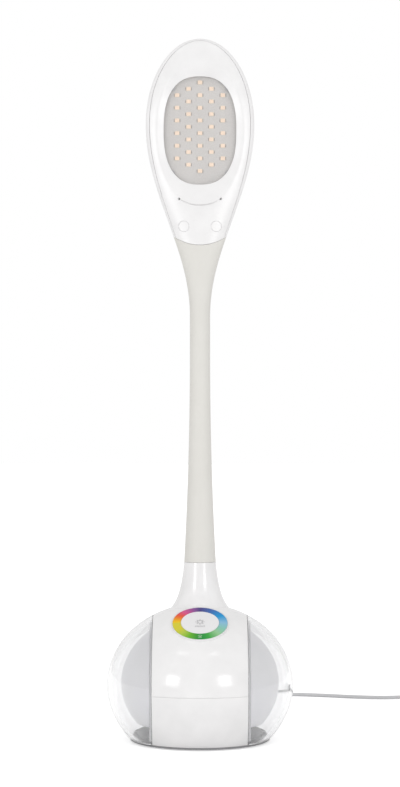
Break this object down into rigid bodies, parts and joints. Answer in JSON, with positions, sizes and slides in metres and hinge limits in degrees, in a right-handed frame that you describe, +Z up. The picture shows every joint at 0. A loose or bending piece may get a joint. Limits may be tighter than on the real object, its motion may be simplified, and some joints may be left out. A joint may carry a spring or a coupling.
{
  "type": "gooseneck led desk lamp",
  "caption": "White desk lamp: a spoon-shaped light head on a flexible sleeved neck, over an egg-shaped base with glowing side domes and a touch colour ring.",
  "frame": {"origin": "middle of the underside, on the surface that the rubber feet stand on", "axes": "+Z up along the neck, front (touch ring and lit face) towards -Y, +X to the right seen from the front"},
  "size_m": [0.301, 0.2897, 0.49],
  "materials": {
    "white_plastic": "satin moulded",
    "clear_acrylic": "clear polished",
    "frosted_acrylic": "frosted",
    "grey_plastic": "fine textured",
    "frame_plastic": "moulded",
    "foot_rubber": "matt",
    "ballast_iron": "as cast",
    "board_green": "solder resist",
    "board_white": "white solder resist",
    "led_cream": "clear resin",
    "led_orange": "phosphor resin",
    "steel": "zinc plated",
    "colour_film": "printed colour wheel under clear film",
    "wound_steel": "bright wound wire",
    "sleeve_silicone": "soft matt",
    "window_diffuser": "lightly frosted",
    "lead_vinyl": "satin",
    "tie_plastic": "soft",
    "plated_brass": "nickel plated"
  },
  "bodies": {
    "base": {"base_top_shell": "white_plastic", "base_bottom_shell": "white_plastic", "base_plate": "grey_plastic", "rubber_feet": "foot_rubber", "ballast_plate": "ballast_iron", "control_board": "board_green", "base_screws": "steel", "side_frame_left": "frame_plastic", "side_frame_right": "frame_plastic", "clear_dome_left": "clear_acrylic", "clear_dome_right": "clear_acrylic", "frosted_dome_left": "frosted_acrylic", "frosted_dome_right": "frosted_acrylic", "mood_board_left": "board_white", "mood_board_right": "board_white", "mood_leds": "led_cream", "touch_button": "white_plastic", "colour_ring": "colour_film", "touch_board": "board_green", "gooseneck_root": "wound_steel", "sleeve_root": "sleeve_silicone", "neck_nut": "steel", "strain_relief": "lead_vinyl", "power_lead": "lead_vinyl", "power_lead_coil": "lead_vinyl", "coil_tie": "tie_plastic", "power_adapter": "white_plastic", "adapter_pins": "plated_brass"},
    "neck_1": {"gooseneck_1": "wound_steel", "sleeve_1": "sleeve_silicone"},
    "neck_2": {"gooseneck_2": "wound_steel", "sleeve_2": "sleeve_silicone"},
    "neck_3": {"gooseneck_3": "wound_steel", "sleeve_3": "sleeve_silicone"},
    "neck_4": {"gooseneck_4": "wound_steel", "sleeve_4": "sleeve_silicone"},
    "neck_5": {"gooseneck_5": "wound_steel", "sleeve_5": "sleeve_silicone"},
    "neck_6": {"gooseneck_6": "wound_steel", "sleeve_6": "sleeve_silicone"},
    "neck_7": {"gooseneck_7": "wound_steel", "sleeve_7": "sleeve_silicone"},
    "neck_8": {"gooseneck_8": "wound_steel", "sleeve_8": "sleeve_silicone"},
    "neck_9": {"gooseneck_9": "wound_steel", "sleeve_9": "sleeve_silicone"},
    "neck_10": {"gooseneck_10": "wound_steel", "sleeve_10": "sleeve_silicone"},
    "neck_11": {"gooseneck_11": "wound_steel", "sleeve_11": "sleeve_silicone"},
    "head": {"sleeve_flare": "sleeve_silicone", "gooseneck_head": "wound_steel", "head_nut": "steel", "head_rear_shell": "white_plastic", "head_front_cover": "white_plastic", "light_window": "window_diffuser", "led_board": "board_white", "led_chips": "led_orange", "screw_plugs": "white_plastic", "head_screws": "steel"}
  },
  "joints": [
    {"name": "lower_neck_bend", "type": "hinge", "parent": "base", "child": "neck_1", "pos_m": [0, 0.006, 0.133], "axis": [1, 0, 0], "range_deg": [-12.5, 12.5]},
    {"name": "lower_neck_bend_2", "type": "hinge", "parent": "neck_1", "child": "neck_2", "pos_m": [0, 0.006, 0.147], "axis": [1, 0, 0], "range_deg": [-12.5, 12.5]},
    {"name": "neck_side_bend", "type": "hinge", "parent": "neck_2", "child": "neck_3", "pos_m": [0, 0.006, 0.161], "axis": [0, 1, 0], "range_deg": [-12, 12]},
    {"name": "lower_neck_bend_3", "type": "hinge", "parent": "neck_3", "child": "neck_4", "pos_m": [0, 0.006, 0.175], "axis": [1, 0, 0], "range_deg": [-12.5, 12.5]},
    {"name": "lower_neck_bend_4", "type": "hinge", "parent": "neck_4", "child": "neck_5", "pos_m": [0, 0.006, 0.189], "axis": [1, 0, 0], "range_deg": [-12.5, 12.5]},
    {"name": "neck_side_bend_2", "type": "hinge", "parent": "neck_5", "child": "neck_6", "pos_m": [0, 0.006, 0.203], "axis": [0, 1, 0], "range_deg": [-12, 12]},
    {"name": "upper_neck_bend", "type": "hinge", "parent": "neck_6", "child": "neck_7", "pos_m": [0, 0.006, 0.217], "axis": [1, 0, 0], "range_deg": [-12.5, 12.5]},
    {"name": "upper_neck_bend_2", "type": "hinge", "parent": "neck_7", "child": "neck_8", "pos_m": [0, 0.006, 0.231], "axis": [1, 0, 0], "range_deg": [-12.5, 12.5]},
    {"name": "neck_side_bend_3", "type": "hinge", "parent": "neck_8", "child": "neck_9", "pos_m": [0, 0.006, 0.245], "axis": [0, 1, 0], "range_deg": [-12, 12]},
    {"name": "upper_neck_bend_3", "type": "hinge", "parent": "neck_9", "child": "neck_10", "pos_m": [0, 0.006, 0.259], "axis": [1, 0, 0], "range_deg": [-12.5, 12.5]},
    {"name": "upper_neck_bend_4", "type": "hinge", "parent": "neck_10", "child": "neck_11", "pos_m": [0, 0.006, 0.273], "axis": [1, 0, 0], "range_deg": [-12.5, 12.5]},
    {"name": "neck_side_bend_4", "type": "hinge", "parent": "neck_11", "child": "head", "pos_m": [0, 0.006, 0.287], "axis": [0, 1, 0], "range_deg": [-12, 12]}
  ],
  "couplings": [
    {"joint": "lower_neck_bend_2", "follows": "lower_neck_bend", "ratio": 1},
    {"joint": "lower_neck_bend_3", "follows": "lower_neck_bend", "ratio": 1},
    {"joint": "lower_neck_bend_4", "follows": "lower_neck_bend", "ratio": 1},
    {"joint": "upper_neck_bend_2", "follows": "upper_neck_bend", "ratio": 1},
    {"joint": "upper_neck_bend_3", "follows": "upper_neck_bend", "ratio": 1},
    {"joint": "upper_neck_bend_4", "follows": "upper_neck_bend", "ratio": 1},
    {"joint": "neck_side_bend_2", "follows": "neck_side_bend", "ratio": 1},
    {"joint": "neck_side_bend_3", "follows": "neck_side_bend", "ratio": 1},
    {"joint": "neck_side_bend_4", "follows": "neck_side_bend", "ratio": 1}
  ]
}
